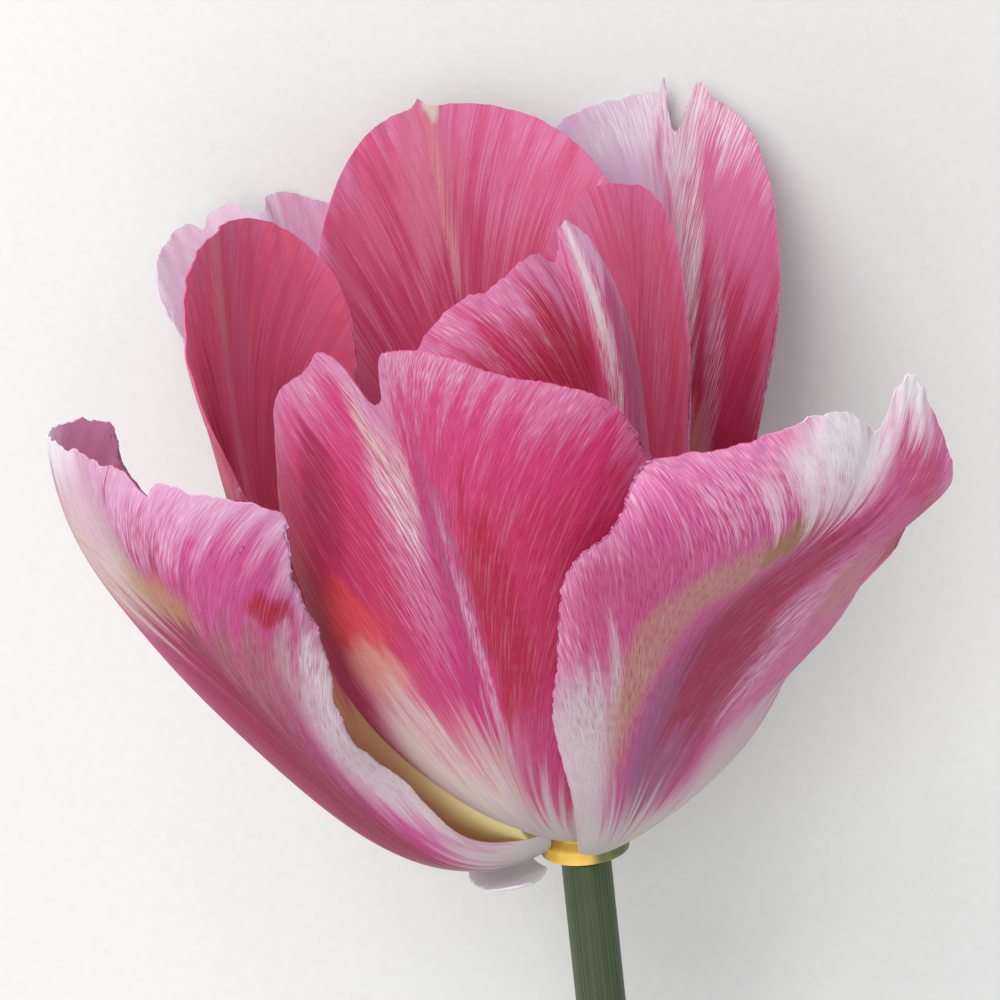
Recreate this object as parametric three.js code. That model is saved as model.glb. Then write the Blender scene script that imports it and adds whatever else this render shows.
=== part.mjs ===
// A cut tulip, fully open, lying on two of its back tepals and on the end of its stem.
// Millimetres, +Z up. The bloom points towards +Y, the stem runs towards -Y, and the side of the
// bloom that the photograph shows faces +Z. The origin is on the surface, under the middle of the tulip.
// The bloom is built in its own axes first: X to its right, Y along its axis, Z to its front.

import * as THREE from "three";

// Driving dimensions. The neck is the stalk just under the bloom, the sway its end's shift sideways,
// the collar's slope the height in which it widens from the neck.
const BLADE_THICKNESS = 0.8;
const FLAP_THICKNESS = 0.64;
const NODE_GAP = 0.3;
const NECK_DIAMETER = 4.9;
const CUT_DIAMETER = 6.2;
const STEM_REACH = 168;
const STEM_SWAY = 6;
const STEM_END_TURN = 4;
const AXIS_TILT = 18;
const RECEPTACLE_HEIGHT = 32;
const COLLAR_DEPTH = 1.9;
const COLLAR_SLOPE = 0.5;
const OUTER_RING_RADIUS = 4.6;
const RING_STEP = BLADE_THICKNESS + NODE_GAP;
const RING_RISE = RING_STEP;
const RECEPTACLE_TOP = 2.5 * RING_RISE;
const STAMENS = 6;
const STAMEN_FOOT = 3.1 * RING_RISE;
const FILAMENT_LENGTH = 15;
const ANTHER_LENGTH = 11;
const ANTHER_GAP = 1.3 * NODE_GAP;
const OVARY_LENGTH = 20;
const OVARY_DIAMETER = 6;
const STIGMA_LENGTH = 3;

// How far a stamen stands from the bloom's axis, from its foot to its tip
const STAMEN_SPREAD = { foot: 2.1, bend: 4.2, top: 5.4, antherFoot: 5.5, antherTip: 6.6 };

// Shares of each half of a blade: how wide its crease and its tip's notch are, and where the lobe lies
const CREASE_WIDTH = 0.05;
const NOTCH_WIDTH = 0.1;
const LOBE_PLACE = 0.35;
const LOBE_WIDTH = 0.25;

// How far a tip may run past its spine, and by how much of a wave the two margins differ
const SPINE_OVERRUN = 1.08;
const WAVE_OFFSET = 0.13;

// Flat faces round the stem, and how finely a spine and a cross-section are summed
const STEM_SIDES = 16;
const SPINE_STEPS = 200;
const SECTION_STEPS = 20;

// Colours
const PINK = 0xc2446e;
const PALE_PINK = 0xcf7d9b;
const ROSE = 0xb92c56;
const SALMON = 0xc9536d;
const LAVENDER = 0xd2b3c4;
const STEM_GREEN = 0x5b6b45;
const COLLAR_YELLOW = 0xc99a3c;
const CREAM = 0xe6dfb4;
const PISTIL_GREEN = 0xa9b56e;
const ANTHER_PURPLE = 0x2d1b2c;

// What every tepal has unless its own row says otherwise. Lists hold values at equal steps from the
// base to the tip: rise is the spine's angle above the outward direction, yaw its sideways angle,
// girth each side's share of the half width, cup the turn of each side from the spine to the margin and
// crease the fold at the spine. Angles are in degrees.
const PLAIN = {
  acrossCells: 12,
  alongCells: 16,
  ring: 0,
  turn: 0,
  length: 75,
  halfWidth: 20,
  rise: [10, 50, 65, 66, 60],
  yaw: [0, 0],
  twist: [0, 0],
  girthLeft: [0.1, 0.55, 0.88, 1, 1],
  girthRight: [0.1, 0.55, 0.88, 1, 1],
  cupLeft: [30, 60, 50, 40],
  cupRight: [30, 60, 50, 40],
  crease: [0, 10, 20, 30],
  leftShare: 1,
  rightShare: 1,
  leftShoulder: 0.6,
  rightShoulder: 0.6,
  roundness: 2.3,
  notch: 0.03,
  leftLobe: 1,
  rightLobe: 1,
  ruffle: 0,
  waves: 3,
};

const TEPALS = {
  tepal_outer_left: {
    turn: -62, length: 72.5, halfWidth: 22,
    rise: [-14, 39, 55, 56, 60, 86], twist: [16, 15, 14, 6],
    girthLeft: [0.1, 0.52, 0.88, 0.98, 0.9], girthRight: [0.08, 0.34, 0.4, 0.55, 0.88, 1],
    cupLeft: [30, 80, 96, 100], cupRight: [60, 78, 64, 50], crease: [0, 20, 26, 12],
    leftShoulder: 0.85, rightShoulder: 0.84, notch: 0, ruffle: 0.8, waves: 3.5,
    colour: PINK,
  },
  tepal_outer_right: {
    turn: 15, length: 77, halfWidth: 19.5,
    rise: [26, 52, 55, 44, 76], yaw: [0, 4, 17, 26, 2], twist: [0, 8, 5, 0],
    girthLeft: [0.1, 0.36, 0.74, 1.1, 1.02], girthRight: [0.1, 1, 1.22, 0.8, 0.44],
    leftShoulder: 0.9, rightShoulder: 0.7, leftLobe: 1.02, rightLobe: 1.05, notch: 0.04,
    cupLeft: [30, 45, 42, 30], cupRight: [30, 40, 35, 35], crease: [0, 5, 20, 30],
    ruffle: 0.7, waves: 4,
    colour: PINK,
  },
  tepal_outer_back_right: {
    turn: 161, length: 79, halfWidth: 15.8, leftShare: 0.95, rise: [5, 40, 58, 64, 66],
    girthLeft: [0.09, 0.55, 0.88, 1, 0.96], girthRight: [0.09, 0.55, 0.88, 1, 1.06],
    cupLeft: [30, 70, 60, 50], cupRight: [30, 70, 60, 50], crease: [0, 5, 20, 30], notch: 0.05,
    leftShoulder: 0.55, rightShoulder: 0.84, ruffle: 0.6, waves: 4,
    colour: LAVENDER,
  },
  tepal_outer_back_left: {
    turn: -151, length: 75, halfWidth: 15.5, rightShare: 1.08, rise: [5, 40, 58, 58, 50],
    girthLeft: [0.09, 0.55, 0.88, 1, 1], girthRight: [0.09, 0.55, 0.88, 1, 1.04],
    rightShoulder: 0.8, ruffle: 0.8, waves: 4,
    colour: LAVENDER,
  },
  tepal_inner_front: {
    ring: 1, turn: -22, length: 73.5, halfWidth: 22, rise: [24, 57, 68, 68, 62],
    girthLeft: [0.17, 0.9, 1.17, 1.06, 0.84], girthRight: [0.1, 0.56, 0.95, 1.02, 0.94],
    cupLeft: [30, 56, 74, 84], cupRight: [30, 66, 50, 30], crease: [0, 5, 20, 35],
    leftShoulder: 0.28, rightShoulder: 0.84, rightLobe: 1.04, notch: 0.08, ruffle: 0.4,
    colour: ROSE,
  },
  tepal_inner_back: {
    ring: 1, turn: -169, length: 75, halfWidth: 18.5, leftShare: 1.06, rise: [12, 50, 65, 68, 68],
    girthRight: [0.1, 0.55, 0.88, 0.98, 0.86], crease: [0, 5, 10, 10], notch: 0, leftShoulder: 0.68,
    rightShoulder: 0.46,
    colour: SALMON,
  },
  tepal_inner_left: {
    ring: 2, turn: -108, length: 75, halfWidth: 18, leftShare: 0.93,
    rise: [-12, 45, 76, 88, 93],
    girthLeft: [0.1, 0.42, 0.84, 1, 1], girthRight: [0.14, 0.56, 0.75, 0.92, 1.02],
    cupLeft: [30, 60, 66, 62], cupRight: [60, 88, 48, 12], crease: [0, 5, 10, 10],
    notch: 0, leftShoulder: 0.8, rightShoulder: 0.7, ruffle: 0.4,
    colour: SALMON,
  },
  tepal_inner_right: {
    ring: 2, turn: 24, length: 66, halfWidth: 17, leftShare: 1.3, rightShare: 0.5,
    rise: [30, 74, 87, 100, 140], cupRight: [30, 90, 90, 90], leftLobe: 0.96, rightLobe: 1.03,
    ruffle: 0.4,
    colour: ROSE,
  },
  tepal_inner_back_right: {
    ring: 2, turn: 148, length: 63, halfWidth: 12.5, leftShare: 0.6, rise: [20, 66, 80, 86, 90],
    notch: 0,
    colour: PALE_PINK,
  },
};

const UP = new THREE.Vector3(0, 1, 0);
const radians = THREE.MathUtils.degToRad;
const clamp = THREE.MathUtils.clamp;

// A smooth value at a share of the way through equally spaced values
function along(values, share) {
  const last = values.length - 1;
  const t = clamp(share, 0, 1) * last;
  const i = Math.min(Math.floor(t), last - 1);
  const f = t - i;
  const p1 = values[i];
  const p2 = values[i + 1];
  const p0 = i > 0 ? values[i - 1] : 2 * p1 - p2;
  const p3 = i < last - 1 ? values[i + 2] : 2 * p2 - p1;
  const square = (2 * p0 - 5 * p1 + 4 * p2 - p3) * f * f;
  const cube = (3 * p1 - p0 - 3 * p2 + p3) * f * f * f;
  return 0.5 * (2 * p1 + (p2 - p0) * f + square + cube);
}

// Directions of a place on the receptacle's ring: out from the axis, and sideways to the right
function ringAxes(turn) {
  const a = radians(turn);
  return {
    out: new THREE.Vector3(Math.sin(a), 0, Math.cos(a)),
    side: new THREE.Vector3(Math.cos(a), 0, -Math.sin(a)),
  };
}

// A tepal's spine: at each step its place, the direction across the blade and the one into the cup
function makeSpine(t) {
  const { out, side } = ringAxes(t.turn);
  const steps = [];
  const place = new THREE.Vector3()
    .addScaledVector(out, t.radius ?? OUTER_RING_RADIUS - t.ring * RING_STEP)
    .addScaledVector(UP, t.height ?? t.ring * RING_RISE);
  let before = null;
  for (let k = 0; k <= SPINE_STEPS; k++) {
    const rise = radians(along(t.rise, k / SPINE_STEPS));
    const yaw = radians(along(t.yaw, k / SPINE_STEPS));
    const tangent = new THREE.Vector3()
      .addScaledVector(out, Math.cos(rise) * Math.cos(yaw))
      .addScaledVector(side, Math.sin(yaw))
      .addScaledVector(UP, Math.sin(rise) * Math.cos(yaw));
    if (before) {
      const step = t.length / SPINE_STEPS / 2;
      place.addScaledVector(before, step).addScaledVector(tangent, step);
    }
    const across = side.clone().addScaledVector(tangent, -tangent.dot(side)).normalize();
    const inward = new THREE.Vector3().crossVectors(tangent, across);
    const cupward = UP.clone().multiplyScalar(Math.cos(rise)).addScaledVector(out, -Math.sin(rise));
    if (inward.dot(cupward) < 0) inward.negate();
    const twist = radians(along(t.twist, k / SPINE_STEPS));
    steps.push({
      place: place.clone(),
      across: across.clone().multiplyScalar(Math.cos(twist)).addScaledVector(inward, Math.sin(twist)),
      inward: inward.clone().multiplyScalar(Math.cos(twist)).addScaledVector(across, -Math.sin(twist)),
    });
    before = tangent;
  }
  return steps;
}

// How far along the spine the tepal's outline ends, at a share u of the way to a margin
function outlineEnd(t, u) {
  const a = Math.abs(u);
  const shoulder = u < 0 ? t.leftShoulder : t.rightShoulder;
  const lobe = u < 0 ? t.leftLobe : t.rightLobe;
  const dome = Math.pow(Math.max(1 - Math.pow(a, t.roundness), 0), 1 / t.roundness);
  const cleft = 1 - t.notch * Math.exp(-((u / NOTCH_WIDTH) ** 2));
  const swell = 1 + (lobe - 1) * Math.exp(-(((a - LOBE_PLACE) / LOBE_WIDTH) ** 2));
  return (shoulder + (1 - shoulder) * dome) * cleft * swell;
}

// The middle of the blade at u (-1 left margin, 1 right margin) and v (0 base, 1 outline's end)
function bladePoint(t, spine, u, v) {
  const a = Math.abs(u);
  const end = v * outlineEnd(t, u);
  const exact = clamp(end, 0, SPINE_OVERRUN) * SPINE_STEPS;
  const i = Math.min(Math.floor(exact), SPINE_STEPS - 1);
  const f = exact - i;
  const share = clamp(end, 0, 1);
  const sideShare = u < 0 ? t.leftShare : t.rightShare;
  const width = t.halfWidth * sideShare * along(u < 0 ? t.girthLeft : t.girthRight, share);
  const cup = radians(along(u < 0 ? t.cupLeft : t.cupRight, share));
  const crease = radians(along(t.crease, share));
  let flat = 0;
  let lift = 0;
  for (let k = 0; k < SECTION_STEPS; k++) {
    const part = (a * (k + 0.5)) / SECTION_STEPS;
    const turn = cup * part - crease * Math.tanh(part / CREASE_WIDTH) * (1 - part) ** 2;
    flat += Math.cos(turn) / SECTION_STEPS;
    lift += Math.sin(turn) / SECTION_STEPS;
  }
  const wave = Math.sin(2 * Math.PI * (t.waves * end + WAVE_OFFSET * Math.sign(u)));
  const ruffle = t.ruffle * a ** 3 * wave * clamp(3 * end, 0, 1);
  const low = spine[i];
  const high = spine[i + 1];
  return low.place.clone().lerp(high.place, f)
    .addScaledVector(low.across.clone().lerp(high.across, f), u * flat * width)
    .addScaledVector(low.inward.clone().lerp(high.inward, f), a * lift * width + ruffle);
}

// The lowest points of the back tepals press flat on the surface the bloom lies on
function heldUp(point) {
  const lift = new THREE.Vector3(0, Math.sin(radians(AXIS_TILT)), Math.cos(radians(AXIS_TILT)));
  const height = point.dot(lift) + RECEPTACLE_HEIGHT;
  return height < 0 ? point.addScaledVector(lift, -height) : point;
}

// A blade of even thickness as one closed mesh, both faces cut along the same diagonals
function bladeGeometry(t, thickness) {
  const spine = makeSpine(t);
  const points = [];
  const rows = t.acrossCells + 1;
  const columns = t.alongCells + 1;
  const nudge = 0.001;
  for (const face of [1, -1]) {
    for (let i = 0; i < rows; i++) {
      for (let j = 0; j < columns; j++) {
        const u = Math.sin(((2 * i) / t.acrossCells - 1) * Math.PI / 2);
        const v = j / t.alongCells;
        const here = bladePoint(t, spine, u, v);
        const u2 = u > 0 ? u - nudge : u + nudge;
        const v2 = v > 0.5 ? v - nudge : v + nudge;
        const overU = bladePoint(t, spine, u2, v).sub(here).multiplyScalar(Math.sign(u2 - u));
        const overV = bladePoint(t, spine, u, v2).sub(here).multiplyScalar(Math.sign(v2 - v));
        const normal = overV.cross(overU).normalize();
        points.push(heldUp(here.addScaledVector(normal, face * thickness / 2)));
      }
    }
  }
  const at = (face, i, j) => face * rows * columns + i * columns + j;
  const index = [];
  for (let i = 0; i < rows - 1; i++) {
    for (let j = 0; j < columns - 1; j++) {
      const [a, b, c, d] = [at(0, i, j), at(0, i + 1, j), at(0, i + 1, j + 1), at(0, i, j + 1)];
      const far = rows * columns;
      index.push(a, c, b, a, d, c);
      index.push(a + far, b + far, c + far, a + far, c + far, d + far);
    }
  }
  const rim = [];
  for (let i = 0; i < rows - 1; i++) rim.push([i, 0]);
  for (let j = 0; j < columns - 1; j++) rim.push([rows - 1, j]);
  for (let i = rows - 1; i > 0; i--) rim.push([i, columns - 1]);
  for (let j = columns - 1; j > 0; j--) rim.push([0, j]);
  rim.forEach(([i, j], k) => {
    const [i2, j2] = rim[(k + 1) % rim.length];
    index.push(at(0, i, j), at(0, i2, j2), at(1, i2, j2));
    index.push(at(0, i, j), at(1, i2, j2), at(1, i, j));
  });
  return meshGeometry(points, index);
}

function meshGeometry(points, index) {
  const geometry = new THREE.BufferGeometry();
  geometry.setFromPoints(points);
  geometry.setIndex(index);
  geometry.computeVertexNormals();
  return geometry;
}

// A closed body through rings of points, each ring turning the same way round its own middle
function loft(rings) {
  const count = rings[0].length;
  const points = rings.flat();
  const index = [];
  for (let r = 0; r < rings.length - 1; r++) {
    for (let k = 0; k < count; k++) {
      const next = (k + 1) % count;
      const [a, b] = [r * count + k, r * count + next];
      index.push(a, b, b + count, a, b + count, a + count);
    }
  }
  for (const r of [0, rings.length - 1]) {
    const middle = new THREE.Vector3();
    rings[r].forEach((p) => middle.addScaledVector(p, 1 / count));
    const hub = points.push(middle) - 1;
    for (let k = 0; k < count; k++) {
      const [a, b] = [r * count + k, r * count + (k + 1) % count];
      if (r === 0) index.push(hub, b, a);
      else index.push(hub, a, b);
    }
  }
  return meshGeometry(points, index);
}

// A ring of points round a middle in the plane of two directions, with a radius for each angle
function ringOf(middle, first, second, sides, radiusAt) {
  const ring = [];
  for (let k = 0; k < sides; k++) {
    const angle = (2 * Math.PI * (k + 0.5)) / sides;
    const radius = radiusAt(angle);
    ring.push(middle.clone()
      .addScaledVector(first, radius * Math.cos(angle))
      .addScaledVector(second, radius * Math.sin(angle)));
  }
  return ring;
}

// A round body on a straight or bent line, its radius following a list of values
function taperedTube(curve, radii, sides, cuts, upright) {
  const rings = [];
  for (let k = 0; k <= cuts; k++) {
    const share = k / cuts;
    const tangent = curve.getTangentAt(share);
    const first = new THREE.Vector3().crossVectors(upright, tangent).normalize();
    const second = new THREE.Vector3().crossVectors(tangent, first).normalize();
    const radius = along(radii, share);
    rings.push(ringOf(curve.getPointAt(share), first, second, sides, () => radius));
  }
  return loft(rings);
}

// A body of revolution about the bloom's axis, given as heights and radii, with lobes if asked for
function turned(profile, sides, lobes, lobeDepth) {
  const right = new THREE.Vector3(1, 0, 0);
  const back = new THREE.Vector3(0, 0, -1);
  const rings = profile.map(([height, radius]) => ringOf(
    new THREE.Vector3(0, height, 0), right, back, sides,
    (angle) => radius * (1 + lobeDepth * Math.cos(lobes * angle)),
  ));
  return loft(rings);
}

function namedMesh(name, geometry, colour, roughness) {
  const material = new THREE.MeshStandardMaterial({ color: colour, roughness, metalness: 0 });
  const mesh = new THREE.Mesh(geometry, material);
  mesh.name = name;
  return mesh;
}

function makeTepals() {
  return Object.entries(TEPALS).map(([name, own]) => {
    const t = { ...PLAIN, ...own };
    return namedMesh(name, bladeGeometry(t, BLADE_THICKNESS), t.colour, 0.55);
  });
}

// The low stepped cone that the tepals and stamens stand on, over a collar wider than the stem
function makeReceptacle() {
  const undercut = BLADE_THICKNESS / 2 + NODE_GAP / 2;
  const profile = [
    [-COLLAR_DEPTH, NECK_DIAMETER / 2],
    [COLLAR_SLOPE - COLLAR_DEPTH, OUTER_RING_RADIUS - 2 * NODE_GAP],
    [-RING_RISE, OUTER_RING_RADIUS - NODE_GAP],
  ];
  for (let ring = 0; ring < 3; ring++) {
    const radius = OUTER_RING_RADIUS - ring * RING_STEP - 1.5 * NODE_GAP;
    profile.push([ring * RING_RISE - undercut, radius]);
    profile.push([ring * RING_RISE, radius - NODE_GAP / 3]);
  }
  profile.push([RECEPTACLE_TOP, OUTER_RING_RADIUS - 2 * RING_STEP - 3 * NODE_GAP]);
  return namedMesh("receptacle", turned(profile, 20, 0, 0), COLLAR_YELLOW, 0.6);
}

// The small blade below the left tepal, no longer than a fingernail
function makeFlap() {
  const flap = {
    ...PLAIN, acrossCells: 8, alongCells: 6, turn: -64, length: 7, halfWidth: 4.6,
    rise: [-10, -2, 8], radius: OUTER_RING_RADIUS + NODE_GAP, height: -1.7,
    girthLeft: [0.3, 0.9, 1, 0.9], girthRight: [0.3, 0.9, 1, 0.9], cupLeft: [20, 30], cupRight: [20, 30],
    crease: [0, 0], notch: 0,
  };
  return namedMesh("basal_flap", bladeGeometry(flap, FLAP_THICKNESS), LAVENDER, 0.55);
}

// The stalk leaves the receptacle along the bloom's axis and bends down until its end lies flat
function makeStem() {
  const tilt = radians(AXIS_TILT);
  const down = new THREE.Vector3(0, -Math.cos(tilt), -Math.sin(tilt));
  const start = down.clone().multiplyScalar(COLLAR_DEPTH + NODE_GAP);
  start.z += RECEPTACLE_HEIGHT;
  const endHeight = (CUT_DIAMETER / 2) * Math.cos(Math.PI / STEM_SIDES);
  const end = new THREE.Vector3(STEM_SWAY, -STEM_REACH, endHeight);
  const pull = STEM_REACH * 0.4;
  const curve = new THREE.CubicBezierCurve3(
    start,
    start.clone().addScaledVector(down, pull),
    end.clone().add(new THREE.Vector3(-STEM_END_TURN, pull, 0)),
    end,
  );
  const radii = [NECK_DIAMETER / 2, NECK_DIAMETER / 2, CUT_DIAMETER / 2, CUT_DIAMETER / 2];
  const up = new THREE.Vector3(0, 0, 1);
  return namedMesh("stem", taperedTube(curve, radii, STEM_SIDES, 28, up), STEM_GREEN, 0.6);
}

// Three-sided ovary on the axis, and the three-lobed stigma on top of it
function makePistil() {
  const foot = RECEPTACLE_TOP + NODE_GAP;
  const radius = OVARY_DIAMETER / 2;
  const ovary = [
    [0, 0.3], [0.08, 0.36], [0.25, 0.72], [0.45, 1], [0.7, 0.92], [0.92, 0.66], [1, 0.6],
  ].map(([share, girth]) => [foot + share * OVARY_LENGTH, girth * radius]);
  const top = foot + OVARY_LENGTH + NODE_GAP;
  const stigma = [
    [0, 0.6], [0.3, 1.05], [0.65, 1.15], [1, 0.7],
  ].map(([share, girth]) => [top + share * STIGMA_LENGTH, girth * radius]);
  return [
    namedMesh("ovary", turned(ovary, 18, 3, 0.1), PISTIL_GREEN, 0.5),
    namedMesh("stigma", turned(stigma, 18, 3, 0.28), CREAM, 0.6),
  ];
}

// One stamen: a filament that leans out round the ovary, and the anther standing on its point
function makeStamen(number) {
  const { out } = ringAxes((number - 0.5) * 360 / STAMENS);
  const at = (radius, height) => out.clone().multiplyScalar(radius).addScaledVector(UP, height);
  const low = at(STAMEN_SPREAD.foot, STAMEN_FOOT);
  const bend = at(STAMEN_SPREAD.bend, STAMEN_FOOT + FILAMENT_LENGTH / 2);
  const high = at(STAMEN_SPREAD.top, STAMEN_FOOT + FILAMENT_LENGTH);
  const filament = new THREE.QuadraticBezierCurve3(low, bend, high);
  const antherFoot = STAMEN_FOOT + FILAMENT_LENGTH + ANTHER_GAP;
  const antherLow = at(STAMEN_SPREAD.antherFoot, antherFoot);
  const antherHigh = at(STAMEN_SPREAD.antherTip, antherFoot + ANTHER_LENGTH);
  const anther = new THREE.LineCurve3(antherLow, antherHigh);
  const across = new THREE.Vector3().crossVectors(UP, out);
  return [
    namedMesh(`filament_${number}`, taperedTube(filament, [0.5, 0.5, 0.4], 8, 8, across), CREAM, 0.6),
    namedMesh(`anther_${number}`, taperedTube(anther, [0.5, 1.15, 1.25, 1.1, 0.5], 8, 7, across),
      ANTHER_PURPLE, 0.85),
  ];
}

function makeStamens() {
  const stamens = [];
  for (let number = 1; number <= STAMENS; number++) stamens.push(...makeStamen(number));
  return stamens;
}

const bloom = new THREE.Group();
bloom.rotation.x = radians(AXIS_TILT);
bloom.position.z = RECEPTACLE_HEIGHT;
bloom.add(...makeTepals(), makeFlap(), makeReceptacle(), ...makePistil(), ...makeStamens());

const tulip = new THREE.Group();
tulip.add(bloom, makeStem());
tulip.updateMatrixWorld(true);
const middle = new THREE.Box3().setFromObject(tulip, true).getCenter(new THREE.Vector3());
tulip.position.set(-middle.x, -middle.y, 0);

export default tulip;
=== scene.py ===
import math

import bpy
import numpy as np
from mathutils import Matrix, Vector


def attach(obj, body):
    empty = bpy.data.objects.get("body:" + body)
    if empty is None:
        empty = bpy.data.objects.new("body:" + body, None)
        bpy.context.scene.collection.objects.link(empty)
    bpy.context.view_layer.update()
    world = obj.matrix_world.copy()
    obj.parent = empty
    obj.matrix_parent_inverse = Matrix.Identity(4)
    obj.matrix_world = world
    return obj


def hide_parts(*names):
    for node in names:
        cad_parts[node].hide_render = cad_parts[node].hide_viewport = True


# A cut tulip, fully open, lying on a pale floor and seen from above. Its petals, stamens, pistil and
# stalk follow the CAD's own forms with a finer grid, thinner blades and natural margins. Lengths are in
# millimetres until a mesh is made, in the bloom's own axes: X to its right, Y along its axis, Z to its front.

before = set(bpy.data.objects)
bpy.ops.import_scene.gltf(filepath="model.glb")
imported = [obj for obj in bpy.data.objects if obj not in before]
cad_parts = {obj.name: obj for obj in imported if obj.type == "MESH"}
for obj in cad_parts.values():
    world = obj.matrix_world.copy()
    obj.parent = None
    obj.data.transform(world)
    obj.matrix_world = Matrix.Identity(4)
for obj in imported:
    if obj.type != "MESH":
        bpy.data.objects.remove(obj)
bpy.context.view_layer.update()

MM = 0.001

# Driving dimensions, the CAD's own
NODE_GAP = 0.3
CAD_THICKNESS = 0.8
NECK_DIAMETER = 4.9
CUT_DIAMETER = 6.2
STEM_REACH = 168
STEM_SWAY = 6
STEM_END_TURN = 4
STEM_SIDES_IN_CAD = 16
AXIS_TILT = math.radians(18)
BLOOM_FOOT = np.array([4.789, 48.293, 32])
COLLAR_DEPTH = 1.9
COLLAR_SLOPE = 0.5
OUTER_RING_RADIUS = 4.6
RING_STEP = CAD_THICKNESS + NODE_GAP
RING_RISE = RING_STEP
RECEPTACLE_TOP = 2.5 * RING_RISE
STAMENS = 6
STAMEN_FOOT = 3.1 * RING_RISE
FILAMENT_LENGTH = 15
ANTHER_LENGTH = 11
ANTHER_GAP = 1.3 * NODE_GAP
OVARY_LENGTH = 20
OVARY_DIAMETER = 6
STIGMA_LENGTH = 3
STAMEN_SPREAD = {"foot": 2.1, "bend": 4.2, "top": 5.4, "anther_foot": 5.5, "anther_tip": 6.6}

# The blades' form, as in the CAD, and the finer grid and real thickness they have here
CREASE_WIDTH = 0.05
LOBE_PLACE = 0.35
LOBE_WIDTH = 0.25
SPINE_OVERRUN = 1.08
WAVE_OFFSET = 0.13
TEETH_DEPTH = 24
MARGIN_SHARPNESS = math.radians(40)
SPINE_STEPS = 200
SECTION_STEPS = 20
PETAL_THICKNESS = 0.4
FLOOR_CLEARANCE = 0.05
COARSE_CELLS = (110, 130)
WIDE_CELLS = (240, 160)
LONG_CELLS = (160, 240)

# The photograph's view: millimetres in a pixel at the bloom, where the receptacle is in the picture, how
# far away the camera stands, how much it looks down on the bloom's axis and how it is turned
MM_PER_PIXEL = 0.096
RECEPTACLE_PIXEL = (584, 836)
PICTURE_MIDDLE = (500, 500)
PICTURE_SIDE = 1000
CAMERA_DISTANCE = 700
CAMERA_PITCH = math.radians(20)
CAMERA_ROLL = math.radians(6)
SENSOR_WIDTH = 36

PLAIN = {
    "ring": 0, "turn": 0, "length": 75, "half_width": 20,
    "rise": [10, 50, 65, 66, 60], "yaw": [0, 0], "twist": [0, 0],
    "girth_left": [0.1, 0.55, 0.88, 1, 1], "girth_right": [0.1, 0.55, 0.88, 1, 1],
    "cup_left": [30, 60, 50, 40], "cup_right": [30, 60, 50, 40], "crease": [0, 10, 20, 30],
    "left_share": 1, "right_share": 1, "left_shoulder": 0.6, "right_shoulder": 0.6,
    "roundness": 2.3, "notch": 0.03, "notch_place": 0, "notch_width": 0.1, "left_lobe": 1, "right_lobe": 1,
    "ruffle": 0, "waves": 3, "ragged": 0.35, "crimp": 0.2, "teeth": [],
    "sag": 0, "cells": COARSE_CELLS,
}

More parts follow.
